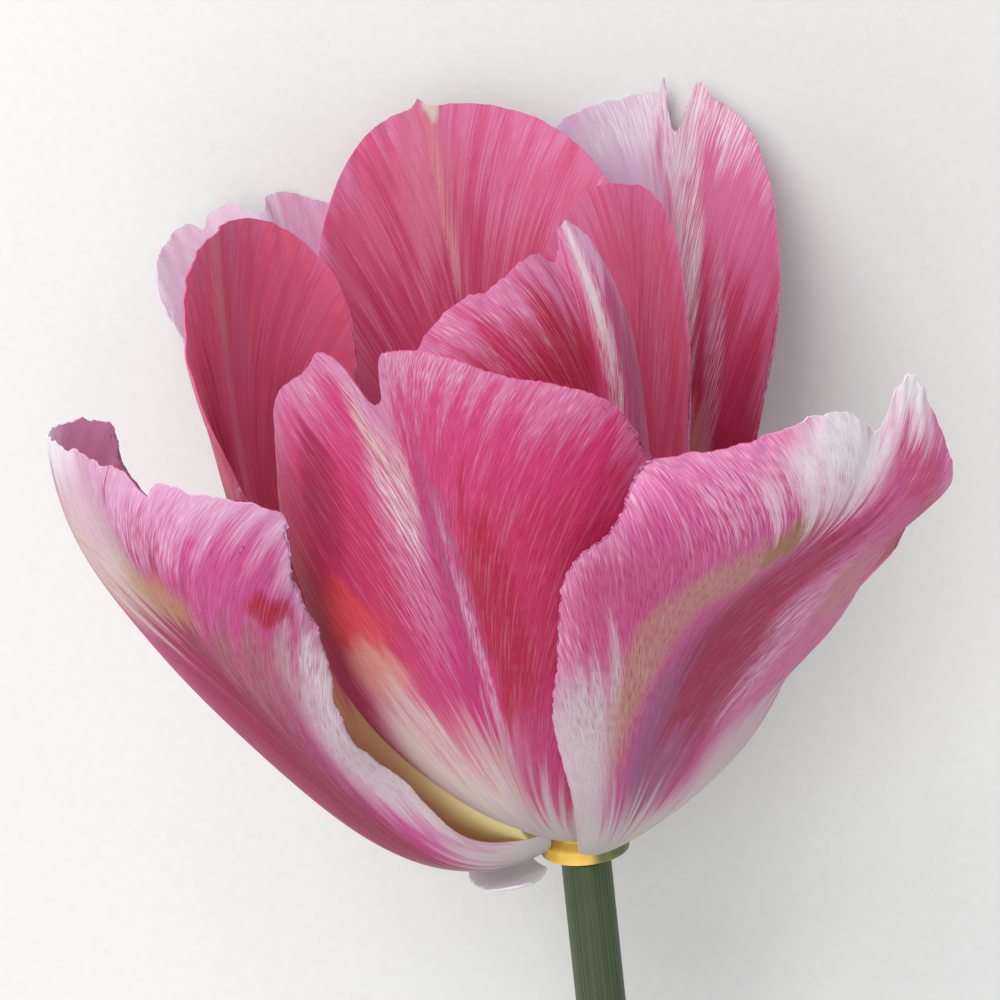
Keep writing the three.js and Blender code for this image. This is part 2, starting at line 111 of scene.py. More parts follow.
# Each tepal's form. "teeth" are barbs and clefts in its tip: where, how wide and how tall, as shares.
TEPALS = {
    "tepal_outer_left": {
        "turn": -62, "length": 72.5, "half_width": 22,
        "rise": [-14, 39, 55, 56, 60, 86], "twist": [16, 15, 14, 6],
        "girth_left": [0.1, 0.52, 0.88, 0.98, 0.9], "girth_right": [0.2, 0.28, 0.3, 0.53, 0.88, 1],
        "cup_left": [30, 80, 96, 100], "cup_right": [60, 78, 64, 50], "crease": [0, 20, 26, 12],
        "left_shoulder": 0.85, "right_shoulder": 0.84, "notch": 0, "ruffle": 0.8, "waves": 3.5,
        "cells": LONG_CELLS, "teeth": [(0.44, 0.04, -0.03)],
    },
    "tepal_outer_right": {
        "turn": 15, "length": 77, "half_width": 19.5,
        "rise": [26, 52, 55, 44, 76], "yaw": [0, 4, 17, 26, 2], "twist": [0, 8, 5, 0],
        "girth_left": [0.1, 0.36, 0.74, 1.1, 1.02], "girth_right": [0.1, 1, 1.22, 0.8, 0.44],
        "left_shoulder": 0.9, "right_shoulder": 0.7, "left_lobe": 1.02, "right_lobe": 1.05, "notch": 0.04,
        "cup_left": [30, 45, 42, 30], "cup_right": [30, 40, 35, 35], "crease": [0, 5, 20, 30],
        "ruffle": 0.7, "waves": 4, "cells": LONG_CELLS,
    },
    "tepal_outer_back_right": {
        "turn": 161, "length": 79, "half_width": 15.8, "left_share": 0.95, "rise": [5, 40, 58, 64, 66],
        "girth_left": [0.09, 0.55, 0.88, 1, 0.96], "girth_right": [0.09, 0.55, 0.88, 1, 1.06],
        "cup_left": [30, 70, 60, 50], "cup_right": [30, 70, 60, 50], "crease": [0, 5, 20, 30],
        "notch": 0.05, "left_shoulder": 0.55, "right_shoulder": 0.84, "ruffle": 0.6, "waves": 4,
        "teeth": [(0.09, 0.03, 0.04), (-0.14, 0.07, 0.02)],
    },
    "tepal_outer_back_left": {
        "turn": -151, "length": 75, "half_width": 15.5, "right_share": 1.08, "rise": [5, 40, 58, 58, 50],
        "girth_left": [0.09, 0.55, 0.88, 1, 1], "girth_right": [0.09, 0.55, 0.88, 1, 1.04],
        "right_shoulder": 0.8, "ruffle": 0.8, "waves": 4, "teeth": [(0.35, 0.05, -0.02)],
    },
    "tepal_inner_front": {
        "ring": 1, "turn": -22, "length": 73.5, "half_width": 22, "rise": [24, 57, 68, 68, 62],
        "girth_left": [0.17, 0.9, 1.17, 1.06, 0.84], "girth_right": [0.1, 0.56, 0.95, 1.02, 0.94],
        "cup_left": [30, 56, 74, 84], "cup_right": [30, 66, 50, 30], "crease": [0, 5, 20, 35],
        "left_shoulder": 0.28, "right_shoulder": 0.84, "right_lobe": 1.04, "notch": 0.09,
        "notch_place": -0.05, "notch_width": 0.07, "teeth": [(-0.24, 0.08, 0.025)],
        "ruffle": 0.4, "cells": WIDE_CELLS,
    },
    "tepal_inner_back": {
        "ring": 1, "turn": -169, "length": 75, "half_width": 18.5, "left_share": 1.06,
        "rise": [12, 50, 65, 68, 68], "girth_right": [0.1, 0.55, 0.88, 0.98, 0.86],
        "crease": [0, 5, 10, 10], "notch": 0, "left_shoulder": 0.68, "right_shoulder": 0.46,
        "ragged": 0.1, "teeth": [(0.02, 0.03, 0.012)],
    },
    "tepal_inner_left": {
        "ring": 2, "turn": -108, "length": 75, "half_width": 18, "left_share": 0.93,
        "rise": [-12, 45, 76, 88, 93],
        "girth_left": [0.1, 0.42, 0.84, 1, 1], "girth_right": [0.6, 1, 0.78, 0.92, 1.02],
        "cup_left": [30, 60, 66, 62], "cup_right": [60, 88, 48, 12], "crease": [0, 5, 10, 10],
        "notch": 0, "left_shoulder": 0.8, "right_shoulder": 0.7, "ruffle": 0.4, "ragged": 0.1, "sag": 2.6,
    },
    "tepal_inner_right": {
        "ring": 2, "turn": 24, "length": 66, "half_width": 17, "left_share": 1.3, "right_share": 0.5,
        "rise": [30, 74, 87, 100, 140], "cup_right": [30, 90, 90, 90], "left_lobe": 0.96,
        "right_lobe": 1.03, "ruffle": 0.4,
    },
    "tepal_inner_back_right": {
        "ring": 2, "turn": 148, "length": 63, "half_width": 12.5, "left_share": 0.6,
        "rise": [20, 66, 80, 86, 90], "notch": 0, "ragged": 0.1,
    },
}

FLAP = {
    "turn": -64, "length": 7, "half_width": 4.6, "rise": [-10, -2, 8],
    "radius": OUTER_RING_RADIUS + NODE_GAP, "height": -1.7,
    "girth_left": [0.3, 0.9, 1, 0.9], "girth_right": [0.3, 0.9, 1, 0.9],
    "cup_left": [20, 30], "cup_right": [20, 30], "crease": [0, 0], "notch": 0, "crimp": 0,
    "cells": (40, 30),
}

# Colours, in sRGB
WHITE = 0xF6F1F4
LILAC = 0xE583BA
PALE_LILAC = 0xE8B6D8
BLUSH = 0xF4BEE0
MAUVE = 0xC94A87
GREY_MAUVE = 0xAA6E90
LAVENDER = 0xE6C8E2
VIOLET = 0xAE6499
MAGENTA = 0xD22C84
ORCHID = 0xD2589C
SOFT_PINK = 0xE0608E
WARM_PINK = 0xEE7098
PINK = 0xDE4488
ROSE = 0xCB2C62
PALE_ROSE = 0xE58AA6
CORAL = 0xEA4C52
PEACH = 0xEDB0A0
CRIMSON = 0xBC0C40
DEEP_ROSE = 0xAA1850
ROSE_TAN = 0xBA7276
CREAM = 0xECE2D4
TAN = 0xC79882
AMBER = 0xD2A468
OLIVE = 0xA0843F
YELLOW = 0xF2E6A4
PEARL = 0xDDD2D6

# Markings on each tepal over its body colour. A mark is a patch: its middle and half size across (from -1
# at the left margin to 1 at the right one) and along (from 0 at the base to 1 at the tip), its colour and
# how strongly it shows. Streaks are marks broken up along the veins, and "hatch" is how dark the fine
# strokes along the veins are. A tepal with "inner_marks" has only those on its inner side, over a yellow foot.
# Two of the marks below are painted shade, each noted where it stands.
LOOKS = {
    "tepal_outer_left": {
        "body": ORCHID, "inside": BLUSH, "second": PINK, "margin": PALE_LILAC, "margin_start": 0.84,
        "inner_marks": [(-0.3, 1.0, 0.3, 0.06, WHITE, 1.0), (0.0, 0.5, 0.8, 0.3, PINK, 0.8)],
        "base": PEARL, "base_end": 0.1, "hatch": 0.45,
        "marks": [
            (0.1, 0.42, 0.42, 0.46, DEEP_ROSE, 1.0), (0.5, 0.62, 0.3, 0.12, ROSE_TAN, 0.7),
            (-0.12, 0.85, 0.26, 0.14, CREAM, 0.9), (0.14, 0.78, 0.22, 0.06, AMBER, 0.7),
            (0.9, 0.4, 0.36, 0.26, PEARL, 1.0), (0.78, 0.755, 0.13, 0.04, CRIMSON, 1.0),
            (-0.3, 1.0, 0.3, 0.06, WHITE, 1.0),
        ],
        "streaks": [
            (0.88, 0.6, 0.1, 0.1, WHITE, 0.8), (0.45, 0.5, 0.2, 0.2, GREY_MAUVE, 0.6),
            (0.1, 0.92, 0.4, 0.08, PALE_LILAC, 0.8),
        ],
    },
    "tepal_outer_right": {
        "body": ORCHID, "inside": PINK, "second": MAUVE, "margin": LILAC, "margin_start": 0.8,
        "inner_marks": [(0.0, 1.0, 0.5, 0.08, WHITE, 1.0)],
        "base": PEARL, "base_end": 0.16, "hatch": 0.65,
        "marks": [
            (0.7, 0.5, 0.5, 0.3, LILAC, 0.6), (-0.7, 0.6, 0.3, 0.12, MAUVE, 0.7),
            (0.08, 0.52, 0.26, 0.32, DEEP_ROSE, 1.0), (-0.14, 0.38, 0.16, 0.16, VIOLET, 0.8),
            (0.02, 0.27, 0.2, 0.1, VIOLET, 0.7), (-0.42, 0.52, 0.15, 0.18, TAN, 0.75),
            (-0.34, 0.7, 0.16, 0.08, TAN, 0.8), (-0.22, 0.79, 0.1, 0.06, OLIVE, 0.85),
            (0.55, 0.66, 0.18, 0.12, TAN, 0.6), (0.95, 0.84, 0.3, 0.12, CRIMSON, 1.0),
            (0.5, 0.9, 0.3, 0.05, ROSE, 0.6), (-0.13, 0.94, 0.34, 0.11, WHITE, 1.0),
            (0.34, 1.0, 0.2, 0.08, WHITE, 1.0), (-0.74, 0.32, 0.32, 0.2, PEARL, 1.0),
            (0.62, 0.24, 0.3, 0.12, PEARL, 0.9),
        ],
        "streaks": [
            (0.34, 0.56, 0.12, 0.2, PALE_LILAC, 0.9), (-0.42, 0.38, 0.14, 0.14, TAN, 0.9),
            (-0.5, 0.88, 0.3, 0.1, PALE_LILAC, 0.6),
        ],
    },
    "tepal_outer_back_right": {
        "body": SOFT_PINK, "inside": SOFT_PINK, "second": LILAC, "margin": LILAC, "margin_start": 0.9,
        "base": YELLOW, "base_end": 0.3, "hatch": 0.15,
        "marks": [
            (0.55, 0.92, 0.58, 0.34, LAVENDER, 1.0), (-0.5, 0.56, 0.6, 0.26, ROSE, 0.9),
            (-0.5, 0.9, 0.4, 0.12, LILAC, 0.6), (-0.25, 0.52, 0.14, 0.08, PEACH, 0.8),
        ],
        "streaks": [
            (-0.1, 0.84, 0.1, 0.3, WHITE, 1.0), (-0.33, 0.68, 0.08, 0.14, PALE_LILAC, 0.8),
            (0.0, 1.0, 0.7, 0.08, WHITE, 1.0),
        ],
    },
    "tepal_outer_back_left": {
        "body": LAVENDER, "inside": LAVENDER, "second": PALE_LILAC, "margin": WHITE, "margin_start": 0.8,
        "base": YELLOW, "base_end": 0.25, "hatch": 0.15,
        "marks": [(0.0, 0.5, 0.9, 0.36, PINK, 0.75), (-0.4, 0.95, 0.3, 0.12, LILAC, 0.6)],
        "streaks": [(0.4, 0.96, 0.5, 0.08, LILAC, 0.4)],
    },
    "tepal_inner_front": {
        "body": PINK, "inside": PINK, "second": ROSE, "margin": LILAC, "margin_start": 0.84,
        "inner_marks": [(0.0, 0.6, 0.3, 0.3, ROSE, 0.8)],
        "base": PEARL, "base_end": 0.16, "hatch": 0.3,
        "marks": [
            (-0.5, 0.62, 0.42, 0.2, ROSE, 0.9), (-0.7, 0.6, 0.25, 0.1, CRIMSON, 0.85),
            (-0.44, 0.54, 0.2, 0.08, CORAL, 0.9), (-0.42, 0.45, 0.2, 0.06, PEACH, 0.85),
            (0.45, 0.6, 0.4, 0.18, ROSE, 0.85), (0.22, 0.5, 0.12, 0.24, CRIMSON, 0.9),
            # The deep rose patch at -0.42 across and 0.79 along is painted shade in a fold of the tepal.
            (-0.42, 0.79, 0.12, 0.12, DEEP_ROSE, 0.85), (0.0, 0.56, 0.12, 0.26, MAGENTA, 0.9),
            (-0.3, 0.26, 0.44, 0.15, CREAM, 1.0), (0.3, 0.28, 0.3, 0.1, MAUVE, 0.6),
        ],
        "streaks": [
            (-0.1, 0.72, 0.1, 0.22, PALE_LILAC, 0.6), (-0.07, 0.84, 0.08, 0.12, WHITE, 0.95),
            (0.07, 0.66, 0.07, 0.18, GREY_MAUVE, 0.8), (0.08, 0.5, 0.03, 0.26, PALE_LILAC, 0.95),
            (-0.12, 0.92, 0.07, 0.07, CREAM, 0.95), (0.0, 0.98, 0.5, 0.05, PALE_LILAC, 0.6),
            (-0.18, 0.34, 0.2, 0.1, PINK, 0.6),
        ],
    },
    "tepal_inner_back": {
        "body": SOFT_PINK, "inside": SOFT_PINK, "second": PALE_ROSE, "margin": LILAC, "margin_start": 0.94,
        "base": YELLOW, "base_end": 0.2, "hatch": 0.1,
        "marks": [
            (0.0, 0.56, 1.0, 0.3, ROSE, 0.8), (0.04, 0.9, 0.16, 0.14, PALE_ROSE, 0.6),
            (-0.04, 1.0, 0.05, 0.02, CREAM, 0.9),
        ],
        "streaks": [(-0.02, 0.88, 0.03, 0.14, PEACH, 0.7), (-0.4, 0.92, 0.3, 0.12, LILAC, 0.5)],
    },
    "tepal_inner_left": {
        "body": WARM_PINK, "inside": WARM_PINK, "second": ROSE, "margin": LILAC, "margin_start": 0.95,
        "base": YELLOW, "base_end": 0.38, "hatch": 0.1,
        "marks": [
            # The crimson patch at 0.42 across and 0.6 along is partly the tissue's deep crimson and partly painted
            # shade on the cup's front half.
            (-0.5, 0.55, 0.5, 0.24, ROSE, 0.6), (0.42, 0.6, 0.34, 0.26, CRIMSON, 0.95),
            (0.04, 0.78, 0.05, 0.4, PALE_ROSE, 0.8),
        ],
        "streaks": [(-0.22, 0.93, 0.1, 0.14, LILAC, 0.7), (0.06, 0.94, 0.08, 0.1, PEACH, 0.6)],
    },
    "tepal_inner_right": {
        "body": PINK, "inside": PINK, "second": ROSE, "margin": LILAC, "margin_start": 0.84,
        "inner_marks": [(0.0, 0.6, 0.3, 0.3, ROSE, 0.8)],
        "base": CREAM, "base_end": 0.2, "hatch": 0.35,
        "marks": [
            (-0.3, 0.87, 0.36, 0.09, ROSE, 0.9), (-0.15, 0.84, 0.2, 0.08, CRIMSON, 0.95),
            (0.4, 0.78, 0.2, 0.14, MAUVE, 0.6), (0.35, 0.97, 0.2, 0.06, PALE_LILAC, 0.8),
            (0.2, 0.88, 0.05, 0.1, WHITE, 0.9),
        ],
        "streaks": [(0.2, 0.84, 0.12, 0.16, WHITE, 1.0), (0.5, 0.8, 0.2, 0.16, GREY_MAUVE, 0.7)],
    },
    "tepal_inner_back_right": {
        "body": SOFT_PINK, "inside": SOFT_PINK, "second": PALE_ROSE, "margin": LILAC, "margin_start": 0.9,
        "base": YELLOW, "base_end": 0.25, "hatch": 0.1,
        "marks": [(-0.3, 0.6, 0.6, 0.22, ROSE, 0.6)],
        "streaks": [(-0.3, 0.75, 0.2, 0.2, PALE_ROSE, 0.7)],
    },
    "basal_flap": {
        "body": WHITE, "inside": WHITE, "second": LAVENDER, "margin": WHITE, "margin_start": 0.6,
        "base": WHITE, "base_end": 0.3, "hatch": 0.1, "marks": [], "streaks": [],
    },
}

# Where round the receptacle, as a share of a turn, the middle of its yellow side is
YELLOW_SIDE = 0.66

# How sharply the veins turn from the midrib towards the margins, and how near it they start
VEIN_BEND = 0.5
VEIN_START = 0.15


# A smooth value at a share of the way through equally spaced values
def along(values, share):
    values = np.asarray(values, float)
    last = len(values) - 1
    t = np.clip(share, 0, 1) * last
    i = np.minimum(np.floor(t).astype(int), last - 1)
    f = t - i
    before = 2 * values[0] - values[1]
    after = 2 * values[-1] - values[-2]
    p0, p1, p2, p3 = (np.concatenate([[before], values, [after]])[i + k] for k in range(4))
    square = (2 * p0 - 5 * p1 + 4 * p2 - p3) * f ** 2
    cube = (3 * p1 - p0 - 3 * p2 + p3) * f ** 3
    return 0.5 * (2 * p1 + (p2 - p0) * f + square + cube)


def unit(vectors):
    return vectors / np.linalg.norm(vectors, axis=-1, keepdims=True)


# From the bloom's own axes to the frame's. Nothing comes nearer to the floor than "lowest".
def to_frame(points, lowest=FLOOR_CLEARANCE):
    x, y, z = np.moveaxis(np.asarray(points, float), -1, 0)
    turned = np.stack([
        x,
        y * math.cos(AXIS_TILT) - z * math.sin(AXIS_TILT),
        y * math.sin(AXIS_TILT) + z * math.cos(AXIS_TILT),
    ], axis=-1) + BLOOM_FOOT
    turned[..., 2] = np.maximum(turned[..., 2], lowest)
    return turned


def ring_axes(turn):
    a = math.radians(turn)
    return np.array([math.sin(a), 0, math.cos(a)]), np.array([math.cos(a), 0, -math.sin(a)])


UP = np.array([0.0, 1.0, 0.0])


# A tepal's spine: at each step its place, the direction across the blade and the one into the cup
def make_spine(t):
    out, side = ring_axes(t["turn"])
    share = np.linspace(0, 1, SPINE_STEPS + 1)
    rise, yaw, twist = (np.radians(along(t[key], share))[:, None] for key in ("rise", "yaw", "twist"))
    tangent = np.cos(rise) * np.cos(yaw) * out + np.sin(yaw) * side + np.sin(rise) * np.cos(yaw) * UP
    radius = t.get("radius", OUTER_RING_RADIUS - t["ring"] * RING_STEP)
    foot = out * radius + UP * t.get("height", t["ring"] * RING_RISE)
    moves = (tangent[1:] + tangent[:-1]) * t["length"] / SPINE_STEPS / 2
    place = foot + np.concatenate([np.zeros((1, 3)), np.cumsum(moves, axis=0)])
    across = unit(side - tangent * (tangent @ side)[:, None])
    inward = np.cross(tangent, across)
    return {
        "place": place,
        "across": across * np.cos(twist) + inward * np.sin(twist),
        "inward": inward * np.cos(twist) - across * np.sin(twist),
    }


# Small uneven bumps along a margin, between -1 and 1, at a distance along it
def bumps(distance, seed):
    return (np.sin(1.1 * distance + seed) + np.sin(1.9 * distance + 2.3 * seed)
            + np.sin(3.1 * distance + 3.7 * seed)) / 3


# The same bumps with fine teeth on them
def uneven(distance, seed):
    teeth = (np.sin(6.7 * distance + 1.3 * seed) + np.sin(9.7 * distance + 0.7 * seed)) / 2
    return 0.7 * bumps(distance, seed) + 0.3 * teeth


# How far along the spine the tepal's outline ends, at a share u of the way to a margin
def outline_end(t, u):
    a = np.abs(u)
    shoulder = np.where(u < 0, t["left_shoulder"], t["right_shoulder"])
    lobe = np.where(u < 0, t["left_lobe"], t["right_lobe"])
    dome = np.maximum(1 - a ** t["roundness"], 0) ** (1 / t["roundness"])
    cleft = 1 - t["notch"] * np.exp(-(((u - t["notch_place"]) / t["notch_width"]) ** 2))
    swell = 1 + (lobe - 1) * np.exp(-(((a - LOBE_PLACE) / LOBE_WIDTH) ** 2))
    end = (shoulder + (1 - shoulder) * dome) * cleft * swell
    for place, width, height in t["teeth"]:
        end = end * (1 + height * np.exp(-(((u - place) / width) ** 2)))
    return end


# How far along the spine a place at u and v lies, with the tip's fine teeth
def reach_at(t, u, v):
    tip = v ** TEETH_DEPTH * t["ragged"] / t["length"] * uneven(u * t["half_width"], t["turn"])
    return v * outline_end(t, u) + tip


# The middle of the blade at u (-1 left margin, 1 right margin) and v (0 base, 1 outline's end)
def blade_points(t, spine, u, v):
    a = np.abs(u)
    end = reach_at(t, u, v)
    exact = np.clip(end, 0, SPINE_OVERRUN) * SPINE_STEPS
    i = np.minimum(np.floor(exact).astype(int), SPINE_STEPS - 1)
    f = (exact - i)[..., None]
    share = np.clip(end, 0, 1)
    left = u < 0
    side_share = np.where(left, t["left_share"], t["right_share"])
    girth = np.where(left, along(t["girth_left"], share), along(t["girth_right"], share))
    width = t["half_width"] * side_share * girth
    above_base = np.clip((end - 0.2) / 0.3, 0, 1)
    width = width + t["ragged"] * above_base * a ** TEETH_DEPTH * uneven(end * t["length"], t["turn"] + 1)
    cup = np.radians(np.where(left, along(t["cup_left"], share), along(t["cup_right"], share)))
    crease = np.radians(along(t["crease"], share))
    flat = np.zeros_like(u)
    lift = np.zeros_like(u)
    for k in range(SECTION_STEPS):
        part = a * (k + 0.5) / SECTION_STEPS
        turn = cup * part - crease * np.tanh(part / CREASE_WIDTH) * (1 - part) ** 2
        flat += np.cos(turn) / SECTION_STEPS
        lift += np.sin(turn) / SECTION_STEPS
    wave = np.sin(2 * np.pi * (t["waves"] * end + WAVE_OFFSET * np.sign(u)))
    ruffle = t["ruffle"] * a ** 3 * wave * np.clip(3 * end, 0, 1)
    along_margin = np.where(a ** 8 > v ** 16, end * t["length"], u * t["half_width"])
    crimp = t["crimp"] * above_base * np.maximum(a ** 8, v ** 16) * bumps(along_margin, 1)
    spot = {key: rows[i] * (1 - f) + rows[i + 1] * f for key, rows in spine.items()}
    offset = (a * lift * width + ruffle + crimp)[..., None]
    sag = (t["sag"] * (1 - share) ** 6)[..., None]
    return spot["place"] + spot["across"] * (u * flat * width)[..., None] + spot["inward"] * offset - UP * sag


# Faces of a closed blade: its inner side, its outer side and the rim between them
def blade_faces(rows, columns):
    i, j = np.meshgrid(np.arange(rows - 1), np.arange(columns - 1), indexing="ij")
    at = (i * columns + j).ravel()
    inner = np.stack([at, at + 1, at + columns + 1, at + columns], axis=1)
    outer = inner[:, ::-1] + rows * columns
    rim = [r * columns for r in range(rows)]
    rim += [(rows - 1) * columns + c for c in range(1, columns)]
    rim += [r * columns + columns - 1 for r in range(rows - 2, -1, -1)]
    rim += list(range(columns - 2, 0, -1))
    rim = np.array(rim)
    after = np.roll(rim, -1)
    edge = np.stack([rim, after, after + rows * columns, rim + rows * columns], axis=1)
    return inner, outer, edge


# A mesh in metres, with UV layers that hold a pair of values for each point
def make_object(name, points, faces, layers, materials, indices=None):
    mesh = bpy.data.meshes.new(name)
    mesh.from_pydata((points * MM).tolist(), [], faces)
    corners = np.zeros(len(mesh.loops), int)
    mesh.loops.foreach_get("vertex_index", corners)
    for layer_name, values in layers.items():
        layer = mesh.uv_layers.new(name=layer_name)
        layer.data.foreach_set("uv", values[corners].ravel())
    mesh.polygons.foreach_set("use_smooth", np.ones(len(mesh.polygons), bool))
    for material in materials:
        mesh.materials.append(material)
    if indices is not None:
        mesh.polygons.foreach_set("material_index", indices)
    mesh.set_sharp_from_angle(angle=MARGIN_SHARPNESS)
    thing = bpy.data.objects.new(name, mesh)
    bpy.context.scene.collection.objects.link(thing)
    return thing


# A piece that stands for a CAD node
def stand_for(thing, node):
    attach(thing, "root")
    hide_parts(node)


def make_blade(name, form):
    t = {**PLAIN, **form}
    cells_across, cells_along = t["cells"]
    spine = make_spine(t)
    even = np.linspace(-1, 1, cells_across + 1)
    steps = (even + np.sin(even * np.pi / 2)) / 2
    u, v = np.meshgrid(steps, np.linspace(0, 1, cells_along + 1), indexing="ij")
    nudge = 0.001
    u_step = np.where(u > 0, -nudge, nudge)
    v_step = np.where(v > 0.5, -nudge, nudge)
    middle = blade_points(t, spine, u, v)
    over_u = (blade_points(t, spine, u + u_step, v) - middle) * np.sign(u_step)[..., None]
    over_v = (blade_points(t, spine, u, v + v_step) - middle) * np.sign(v_step)[..., None]
    normal = unit(np.cross(over_v, over_u))
    edge = np.maximum(np.abs(u) ** 12, v ** 24)
    half = (PETAL_THICKNESS / 2 * (1 - 0.6 * edge))[..., None]
    points = np.concatenate([(middle + normal * half).reshape(-1, 3), (middle - normal * half).reshape(-1, 3)])
    inner, outer, rim = blade_faces(*u.shape)
    faces = [list(face) for face in np.concatenate([inner, outer, rim]).tolist()]
    indices = np.zeros(len(faces), int)
    indices[len(inner):len(inner) + len(outer)] = 1
    place = np.stack([(u.ravel() + 1) / 2, v.ravel()], axis=1)
    reach = np.stack([reach_at(t, u, v).ravel(), v.ravel()], axis=1)
    layers = {"petal": np.concatenate([place, place]), "reach": np.concatenate([reach, reach])}
    look = LOOKS[name]
    materials = [petal_material(name + "_inside", look, True), petal_material(name + "_outside", look, False)]
    lowest = np.repeat([FLOOR_CLEARANCE + PETAL_THICKNESS / 2, FLOOR_CLEARANCE], u.size)
    thing = make_object(name + "_petal", to_frame(points, lowest), faces, layers, materials, indices)
    stand_for(thing, name)


# A closed body through rings of points, capped at both ends
def make_loft(name, rings, material, node):
    rings = np.asarray(rings)
    cuts, sides = rings.shape[:2]
    faces = []
    for r in range(cuts - 1):
        for k in range(sides):
            a = r * sides + k
            b = r * sides + (k + 1) % sides
            faces.append([a, b, b + sides, a + sides])
    hubs = cuts * sides
    for k in range(sides):
        after = (k + 1) % sides
        faces.append([hubs, after, k])
        faces.append([hubs + 1, (cuts - 1) * sides + k, (cuts - 1) * sides + after])
    points = np.concatenate([rings.reshape(-1, 3), [rings[0].mean(axis=0), rings[-1].mean(axis=0)]])
    across, reach = np.meshgrid(np.arange(sides) / sides, np.linspace(0, 1, cuts))
    uvs = np.concatenate([np.stack([across.ravel(), reach.ravel()], axis=1), [[0.5, 0], [0.5, 1]]])
    thing = make_object(name, points, faces, {"petal": uvs}, [material])
    stand_for(thing, node)
    return thing


# Rings round a line of places, with a radius for each cut and angle
def rings_round(places, tangents, upright, radii, sides):
    angles = 2 * np.pi * (np.arange(sides) + 0.5) / sides
    first = unit(np.cross(upright, tangents))
    second = unit(np.cross(tangents, first))
    ring = first[:, None] * np.cos(angles)[:, None] + second[:, None] * np.sin(angles)[:, None]
    return places[:, None] + ring * radii[..., None]


# A body of revolution about the bloom's axis, from heights and radii, with lobes if asked for
def turned_rings(profile, cuts, sides, lobes=0, depth=0.0):
    profile = np.array(profile, float)
    share = np.linspace(0, 1, cuts)
    heights = along(profile[:, 0], share)
    radii = along(profile[:, 1], share)
    angles = 2 * np.pi * (np.arange(sides) + 0.5) / sides
    wide = radii[:, None] * (1 + depth * np.cos(lobes * angles))
    x = wide * np.cos(angles)
    z = -wide * np.sin(angles)
    y = np.broadcast_to(heights[:, None], x.shape)
    return to_frame(np.stack([x, y, z], axis=-1))


def colour(value):
    channels = [(value >> shift & 255) / 255 for shift in (16, 8, 0)]
    linear = [c / 12.92 if c <= 0.04045 else ((c + 0.055) / 1.055) ** 2.4 for c in channels]
    return (*linear, 1.0)


# A short way to write a material's nodes
class Nodes:
    def __init__(self, name):
        self.material = bpy.data.materials.new(name)
        self.material.use_nodes = True
        self.tree = self.material.node_tree
        self.tree.nodes.clear()

    def make(self, kind, settings=None, **inputs):
        node = self.tree.nodes.new(kind)
        for key, value in (settings or {}).items():
            setattr(node, key, value)
        for key, value in inputs.items():
            self.put(node.inputs[key.replace("_", " ")], value)
        return node

    def put(self, socket, value):
        if isinstance(value, bpy.types.NodeSocket):
            self.tree.links.new(value, socket)
        else:
            socket.default_value = value

    def math(self, operation, *values):
        node = self.make("ShaderNodeMath", {"operation": operation})
        for socket, value in zip(node.inputs, values):
            self.put(socket, value)
        return node.outputs[0]

    def span(self, value, low, high, most=1.0):
        node = self.make("ShaderNodeMapRange", {"interpolation_type": "SMOOTHSTEP"})
        for key, number in (("Value", value), ("From Min", low), ("From Max", high), ("To Max", most)):
            self.put(node.inputs[key], number)
        return node.outputs["Result"]

    def move(self, vector, operation, *values):
        node = self.make("ShaderNodeVectorMath", {"operation": operation})
        for socket, value in zip(node.inputs, (vector, *values)):
            self.put(socket, value)
        return node.outputs[0]

    def dot(self, first, second):
        node = self.make("ShaderNodeVectorMath", {"operation": "DOT_PRODUCT"})
        self.put(node.inputs[0], first)
        self.put(node.inputs[1], second)
        return node.outputs["Value"]

    def mix(self, factor, first, second):
        node = self.make("ShaderNodeMix", {"data_type": "RGBA"})
        for place, value in ((0, factor), (6, first), (7, second)):
            self.put(node.inputs[place], value)
        return node.outputs[2]

    def vector(self, x, y, z):
        return self.make("ShaderNodeCombineXYZ", X=x, Y=y, Z=z).outputs[0]

    def noise(self, x, y, detail=1.0):
        settings = {"noise_dimensions": "2D"}
        return self.make("ShaderNodeTexNoise", settings, Vector=self.vector(x, y, 0.0), Scale=1.0,
                         Detail=detail).outputs["Fac"]

    def grain(self, scale, detail=2.0):
        place = self.make("ShaderNodeTexCoord").outputs["Object"]
        return self.make("ShaderNodeTexNoise", Vector=place, Scale=scale, Detail=detail).outputs["Fac"]

    def bump(self, height, distance, strength=0.6):
        return self.make("ShaderNodeBump", Height=height, Distance=distance, Strength=strength).outputs[0]

    def finish(self, surface):
        output = self.tree.nodes.new("ShaderNodeOutputMaterial")
        self.tree.links.new(surface, output.inputs["Surface"])
        return self.material


# A value that stays the same along a vein: veins run up beside the midrib and curve out to the margins
def vein_rank(n, a, reach):
    outward = n.math("LOGARITHM", n.math("ADD", a, VEIN_START), math.e)
    return n.math("MULTIPLY_ADD", outward, -VEIN_BEND, n.math("MULTIPLY", reach, reach))


# A mark mixed over a tint, its edge feathered along the veins
def add_mark(n, tint, place, feather, mark, share=None):
    middle_u, middle_v, size_u, size_v, mark_colour, strength = mark
    shift = n.move(feather, "ADD", (-middle_u / size_u, -middle_v / size_v, 0.0))
    offset = n.move(place, "MULTIPLY_ADD", (1 / size_u, 1 / size_v, 0.0), shift)
    square = n.dot(offset, offset)
    shown = n.span(square, 1.5, 0.1, strength)
    if share is not None:
        shown = n.math("MULTIPLY", shown, share)
    return n.mix(shown, tint, colour(mark_colour))


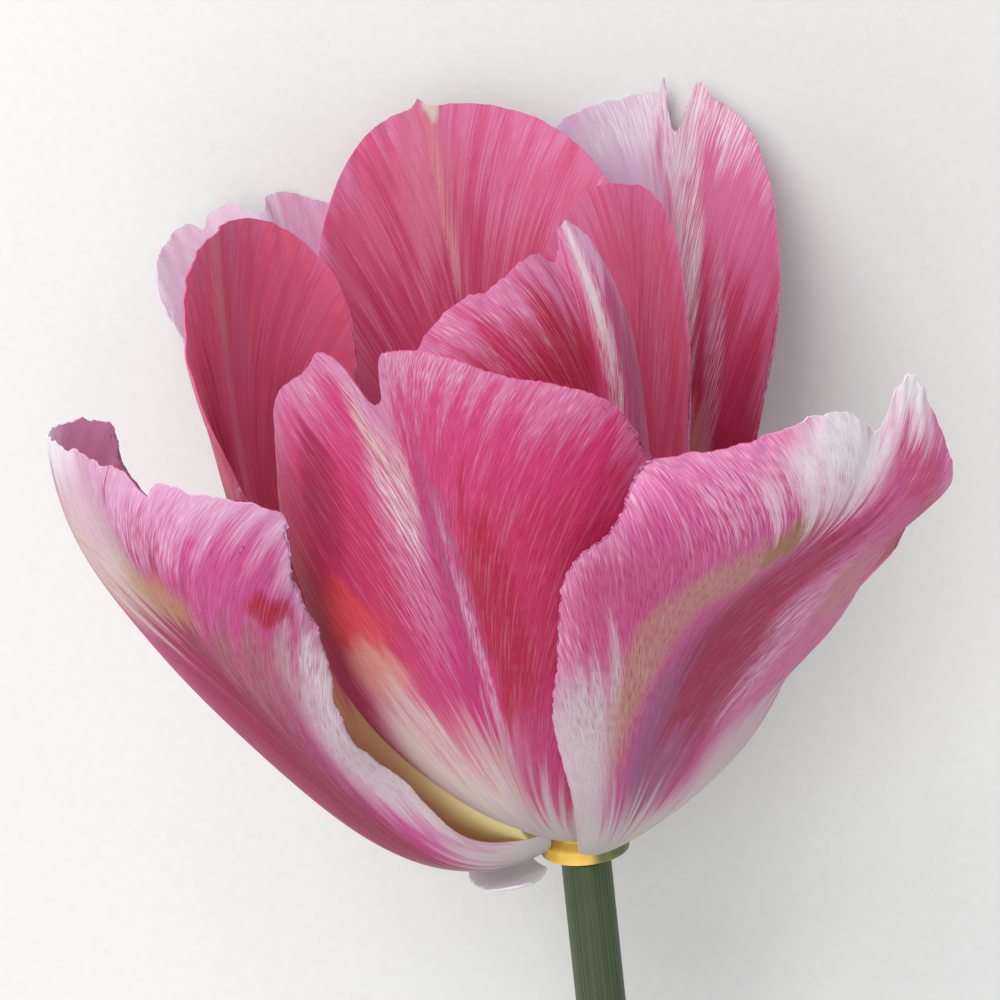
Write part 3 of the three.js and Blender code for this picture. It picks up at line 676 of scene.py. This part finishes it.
# Petal tissue: body colour, pale margins, feathered marks, pale base and fine strokes along the veins
def petal_material(name, look, inside):
    n = Nodes(name)
    split = n.make("ShaderNodeSeparateXYZ", Vector=n.make("ShaderNodeUVMap", {"uv_map": "petal"}).outputs[0])
    span = n.make("ShaderNodeSeparateXYZ", Vector=n.make("ShaderNodeUVMap", {"uv_map": "reach"}).outputs[0])
    reach = span.outputs[0]
    v = split.outputs[1]
    u = n.math("MULTIPLY_ADD", split.outputs[0], 2.0, -1.0)
    a = n.math("ABSOLUTE", u)
    seed = float(sum(map(ord, name)) % 97)
    rank = vein_rank(n, a, reach)
    side = n.math("MULTIPLY_ADD", n.math("TANH", n.math("MULTIPLY", u, 8.0)), 3.0, seed)
    flame = n.noise(n.math("MULTIPLY", rank, 14.0), n.math("MULTIPLY_ADD", reach, 2.5, side), 0.0)
    vein = n.noise(n.math("MULTIPLY", rank, 90.0), n.math("MULTIPLY_ADD", reach, 9.0, side))
    hair = n.noise(n.math("MULTIPLY", rank, 420.0), n.math("MULTIPLY_ADD", reach, 46.0, side), 0.0)
    feather = n.math("SUBTRACT", n.math("MULTIPLY_ADD", flame, 0.6, n.math("MULTIPLY", vein, 0.4)), 0.5)
    flames = n.vector(n.math("MULTIPLY", feather, 0.6), n.math("MULTIPLY", feather, 1.6), 0.0)
    broken = n.span(n.math("MULTIPLY_ADD", hair, 0.5, n.math("MULTIPLY", vein, 0.5)), 0.42, 0.58)

    tint = n.mix(n.span(flame, 0.3, 0.7, 0.25), colour(look["inside" if inside else "body"]), colour(look["second"]))
    near = n.math("MAXIMUM", a, v)
    low = n.span(reach, 0.15, 0.45)
    edge = n.span(n.math("MULTIPLY_ADD", feather, 0.3, near), look["margin_start"], 1.02)
    margin = n.math("MULTIPLY", edge, low)
    tint = n.mix(n.math("MULTIPLY", margin, 0.5 if inside else 0.85), tint, colour(look["margin"]))
    plain_inside = inside and "inner_marks" in look
    place = n.vector(u, v, 0.0)
    for mark in look["inner_marks" if plain_inside else "marks"]:
        tint = add_mark(n, tint, place, flames, mark)
    for mark in [] if plain_inside else look["streaks"]:
        tint = add_mark(n, tint, place, flames, mark, broken)
    base = n.span(n.math("MULTIPLY_ADD", feather, 0.35, reach), look["base_end"] + 0.1, look["base_end"] - 0.06)
    tint = n.mix(base, tint, colour(YELLOW if plain_inside else look["base"]))
    stroke = 0.25 if inside else 1.0
    pale = n.math("MULTIPLY", n.span(hair, 0.5, 0.75, stroke), n.math("MULTIPLY_ADD", margin, 0.4, 0.05))
    tint = n.mix(pale, tint, colour(WHITE))
    dark = n.math("MULTIPLY", n.span(hair, 0.48, 0.25, stroke * look["hatch"]), low)
    tint = n.mix(n.math("MULTIPLY", dark, n.math("MULTIPLY_ADD", margin, -0.7, 1.0)), tint, colour(DEEP_ROSE))
    tint = n.mix(n.span(vein, 0.5, 0.8, 0.1), tint, colour(WHITE))

    flesh = n.make("ShaderNodeBsdfPrincipled", Base_Color=tint, Roughness=0.48, Normal=n.bump(hair, 0.00006))
    flesh.inputs["Sheen Weight"].default_value = 0.06
    flesh.inputs["Specular IOR Level"].default_value = 0.3
    through = n.make("ShaderNodeBsdfTranslucent", Color=tint)
    both = n.make("ShaderNodeMixShader")
    both.inputs[0].default_value = 0.35
    n.tree.links.new(flesh.outputs[0], both.inputs[1])
    n.tree.links.new(through.outputs[0], both.inputs[2])
    return n.finish(both.outputs[0])


# Firm green or pale tissue with lengthwise lines and soft mottling
def tissue_material(name, main, second, lines, roughness, bump_depth):
    n = Nodes(name)
    place = n.make("ShaderNodeUVMap", {"uv_map": "petal"}).outputs[0]
    split = n.make("ShaderNodeSeparateXYZ", Vector=place)
    turn = n.math("ABSOLUTE", n.math("MULTIPLY_ADD", split.outputs[0], 2.0, -1.0))
    line = n.noise(n.math("MULTIPLY", turn, 3.0 * lines), n.math("MULTIPLY", split.outputs[1], 3.0), 3.0)
    mottle = n.grain(400.0, 3.0)
    tint = n.mix(n.span(line, 0.35, 0.7), colour(main), colour(second))
    tint = n.mix(n.math("MULTIPLY", n.span(mottle, 0.45, 0.7), 0.25), tint, colour(second))
    normal = n.bump(n.math("ADD", line, n.math("MULTIPLY", mottle, 0.5)), bump_depth)
    flesh = n.make("ShaderNodeBsdfPrincipled", Base_Color=tint, Roughness=roughness, Normal=normal)
    return n.finish(flesh.outputs[0])


# The collar: olive like the stalk, with its yellow side towards the front left
def receptacle_material():
    n = Nodes("receptacle_skin")
    split = n.make("ShaderNodeSeparateXYZ", Vector=n.make("ShaderNodeUVMap", {"uv_map": "petal"}).outputs[0])
    mottle = n.grain(500.0, 3.0)
    turn = n.math("ABSOLUTE", n.math("SUBTRACT", split.outputs[0], YELLOW_SIDE))
    green = n.mix(n.span(mottle, 0.35, 0.7), colour(0x4A5A30), colour(0x75803F))
    yellow = n.mix(n.span(mottle, 0.35, 0.7), colour(0xE0B040), colour(0xE8C860))
    wavy = n.math("MULTIPLY_ADD", mottle, 0.06, turn)
    tint = n.mix(n.span(wavy, 0.11, 0.17), yellow, green)
    normal = n.bump(mottle, 0.0001)
    flesh = n.make("ShaderNodeBsdfPrincipled", Base_Color=tint, Roughness=0.5, Normal=normal)
    return n.finish(flesh.outputs[0])


def make_stem():
    down = np.array([0, -math.cos(AXIS_TILT), -math.sin(AXIS_TILT)])
    upright = np.array([0.0, 0.0, 1.0])
    start = down * (COLLAR_DEPTH + NODE_GAP) + [0, 0, BLOOM_FOOT[2]]
    end_height = CUT_DIAMETER / 2 * math.cos(math.pi / STEM_SIDES_IN_CAD)
    end = np.array([STEM_SWAY, -STEM_REACH, end_height])
    pull = STEM_REACH * 0.4
    bends = [start, start + down * pull, end + [-STEM_END_TURN, pull, 0], end]
    share = np.linspace(0, 1, 181)[:, None]
    places = ((1 - share) ** 3 * bends[0] + 3 * share * (1 - share) ** 2 * bends[1]
              + 3 * share ** 2 * (1 - share) * bends[2] + share ** 3 * bends[3])
    tangents = unit(np.gradient(places, axis=0))
    radii = along([NECK_DIAMETER / 2, NECK_DIAMETER / 2, CUT_DIAMETER / 2, CUT_DIAMETER / 2], share[:, 0])
    angles = 2 * np.pi * (np.arange(48) + 0.5) / 48
    ridged = radii[:, None] * (1 - 0.012 * (1 + np.cos(7 * angles)))
    rings = rings_round(places + [BLOOM_FOOT[0], BLOOM_FOOT[1], 0], tangents, upright, ridged, 48)
    rings[..., 2] = np.maximum(rings[..., 2], FLOOR_CLEARANCE)
    material = tissue_material("stem_skin", 0x26331A, 0x3E4E26, 14.0, 0.45, 0.0001)
    make_loft("stem_stalk", rings, material, "stem")


def make_receptacle():
    undercut = CAD_THICKNESS / 2 + NODE_GAP / 2
    profile = [
        [-COLLAR_DEPTH, NECK_DIAMETER / 2],
        [COLLAR_SLOPE - COLLAR_DEPTH, OUTER_RING_RADIUS - 2 * NODE_GAP],
        [-RING_RISE, OUTER_RING_RADIUS - NODE_GAP],
    ]
    for ring in range(3):
        radius = OUTER_RING_RADIUS - ring * RING_STEP - 1.5 * NODE_GAP
        profile += [[ring * RING_RISE - undercut, radius], [ring * RING_RISE, radius - NODE_GAP / 3]]
    profile.append([RECEPTACLE_TOP, OUTER_RING_RADIUS - 2 * RING_STEP - 3 * NODE_GAP])
    rings = turned_rings(profile, 60, 64)
    make_loft("receptacle_cone", rings, receptacle_material(), "receptacle")


def make_pistil():
    foot = RECEPTACLE_TOP + NODE_GAP
    radius = OVARY_DIAMETER / 2
    ovary = [[0, 0.3], [0.08, 0.36], [0.25, 0.72], [0.45, 1], [0.7, 0.92], [0.92, 0.66], [1, 0.6]]
    ovary = [[foot + share * OVARY_LENGTH, girth * radius] for share, girth in ovary]
    top = foot + OVARY_LENGTH + NODE_GAP
    stigma = [[0, 0.6], [0.3, 1.05], [0.65, 1.15], [1, 0.7]]
    stigma = [[top + share * STIGMA_LENGTH, girth * radius] for share, girth in stigma]
    green = tissue_material("ovary_skin", 0xA9B56E, 0xC3CB8C, 8.0, 0.45, 0.0001)
    cream = tissue_material("stigma_skin", 0xE6DFB4, 0xD8CC8E, 20.0, 0.8, 0.0003)
    make_loft("ovary_body", turned_rings(ovary, 80, 72, 3, 0.1), green, "ovary")
    make_loft("stigma_crest", turned_rings(stigma, 30, 96, 3, 0.28), cream, "stigma")


def make_stamen(number, cream, purple):
    out, side = ring_axes((number - 0.5) * 360 / STAMENS)
    upright = np.cross(UP, out)
    spread = STAMEN_SPREAD
    share = np.linspace(0, 1, 25)[:, None]
    low = out * spread["foot"] + UP * STAMEN_FOOT
    bend = out * spread["bend"] + UP * (STAMEN_FOOT + FILAMENT_LENGTH / 2)
    high = out * spread["top"] + UP * (STAMEN_FOOT + FILAMENT_LENGTH)
    places = (1 - share) ** 2 * low + 2 * share * (1 - share) * bend + share ** 2 * high
    radii = np.repeat(along([0.5, 0.5, 0.4], share[:, 0])[:, None], 20, axis=1)
    rings = rings_round(places, unit(np.gradient(places, axis=0)), upright, radii, 20)
    make_loft(f"filament_{number}_thread", to_frame(rings), cream, f"filament_{number}")

    anther_foot = STAMEN_FOOT + FILAMENT_LENGTH + ANTHER_GAP
    low = out * spread["anther_foot"] + UP * anther_foot
    high = out * spread["anther_tip"] + UP * (anther_foot + ANTHER_LENGTH)
    share = np.linspace(0, 1, 41)[:, None]
    places = low + (high - low) * share
    angles = 2 * np.pi * (np.arange(32) + 0.5) / 32
    girth = along([0.5, 1.15, 1.25, 1.1, 0.5], share[:, 0])
    radii = girth[:, None] * (0.93 - 0.07 * np.cos(4 * angles))
    rings = rings_round(places, np.repeat(unit(high - low)[None], 41, axis=0), upright, radii, 32)
    make_loft(f"anther_{number}_lobes", to_frame(rings), purple, f"anther_{number}")


def make_stamens():
    cream = tissue_material("filament_skin", 0xE6DFB4, 0xF0EACB, 5.0, 0.5, 0.00005)
    purple = tissue_material("anther_skin", 0x2D1B2C, 0x4A3244, 16.0, 0.9, 0.0003)
    for number in range(1, STAMENS + 1):
        make_stamen(number, cream, purple)


# A wide pale floor under the flower
def make_floor():
    n = Nodes("floor_paper")
    tint = n.mix(n.grain(900.0), colour(0xCCCBC8), colour(0xD4D3D0))
    surface = n.make("ShaderNodeBsdfPrincipled", Base_Color=tint, Roughness=0.85)
    material = n.finish(surface.outputs[0])
    half = 3.0
    mesh = bpy.data.meshes.new("floor")
    corners = [(-half, -half, 0), (half, -half, 0), (half, half, 0), (-half, half, 0)]
    mesh.from_pydata(corners, [], [(0, 1, 2, 3)])
    mesh.materials.append(material)
    floor = bpy.data.objects.new("floor", mesh)
    bpy.context.scene.collection.objects.link(floor)


def make_area_light(name, place, aim, size, power):
    light = bpy.data.lights.new(name, "AREA")
    light.shape = "DISK"
    light.size = size
    light.energy = power
    lamp = bpy.data.objects.new(name, light)
    lamp.location = place
    lamp.rotation_mode = "QUATERNION"
    lamp.rotation_quaternion = (Vector(aim) - Vector(place)).to_track_quat("-Z", "Y")
    bpy.context.scene.collection.objects.link(lamp)


def make_lights():
    bloom = (0.0, 0.085, 0.05)
    make_area_light("key", (-0.25, 0.45, 0.55), bloom, 0.5, 3.2)
    make_area_light("fill", (-0.2, -0.1, 0.75), bloom, 0.7, 3.6)
    world = bpy.data.worlds.new("soft_daylight")
    world.use_nodes = True
    background = world.node_tree.nodes["Background"]
    background.inputs["Color"].default_value = (0.9, 0.95, 1.0, 1.0)
    background.inputs["Strength"].default_value = 0.65
    bpy.context.scene.world = world
    bpy.context.scene.view_settings.view_transform = "Standard"


# The camera stands where the photograph was taken from, relative to the bloom
def make_camera():
    pitch = np.array([
        [1, 0, 0],
        [0, math.cos(CAMERA_PITCH), -math.sin(CAMERA_PITCH)],
        [0, math.sin(CAMERA_PITCH), math.cos(CAMERA_PITCH)],
    ])
    roll = np.array([
        [math.cos(CAMERA_ROLL), -math.sin(CAMERA_ROLL), 0],
        [math.sin(CAMERA_ROLL), math.cos(CAMERA_ROLL), 0],
        [0, 0, 1],
    ])
    tilt = np.array([
        [1, 0, 0],
        [0, math.cos(AXIS_TILT), -math.sin(AXIS_TILT)],
        [0, math.sin(AXIS_TILT), math.cos(AXIS_TILT)],
    ])
    right, up, back = (tilt @ row for row in roll @ pitch)
    across = (PICTURE_MIDDLE[0] - RECEPTACLE_PIXEL[0]) * MM_PER_PIXEL
    upward = (RECEPTACLE_PIXEL[1] - PICTURE_MIDDLE[1]) * MM_PER_PIXEL
    place = BLOOM_FOOT + right * across + up * upward + back * CAMERA_DISTANCE
    data = bpy.data.cameras.new("camera")
    data.sensor_width = SENSOR_WIDTH
    data.lens = SENSOR_WIDTH * CAMERA_DISTANCE / (MM_PER_PIXEL * PICTURE_SIDE)
    camera = bpy.data.objects.new("camera", data)
    turn = Matrix([[*row, 0] for row in np.stack([right, up, back], axis=1)] + [[0, 0, 0, 1]])
    camera.matrix_world = Matrix.Translation(Vector(place * MM)) @ turn
    bpy.context.scene.collection.objects.link(camera)
    bpy.context.scene.camera = camera


for tepal, tepal_form in TEPALS.items():
    make_blade(tepal, tepal_form)
make_blade("basal_flap", FLAP)
make_stem()
make_receptacle()
make_pistil()
make_stamens()
make_floor()
make_lights()
make_camera()
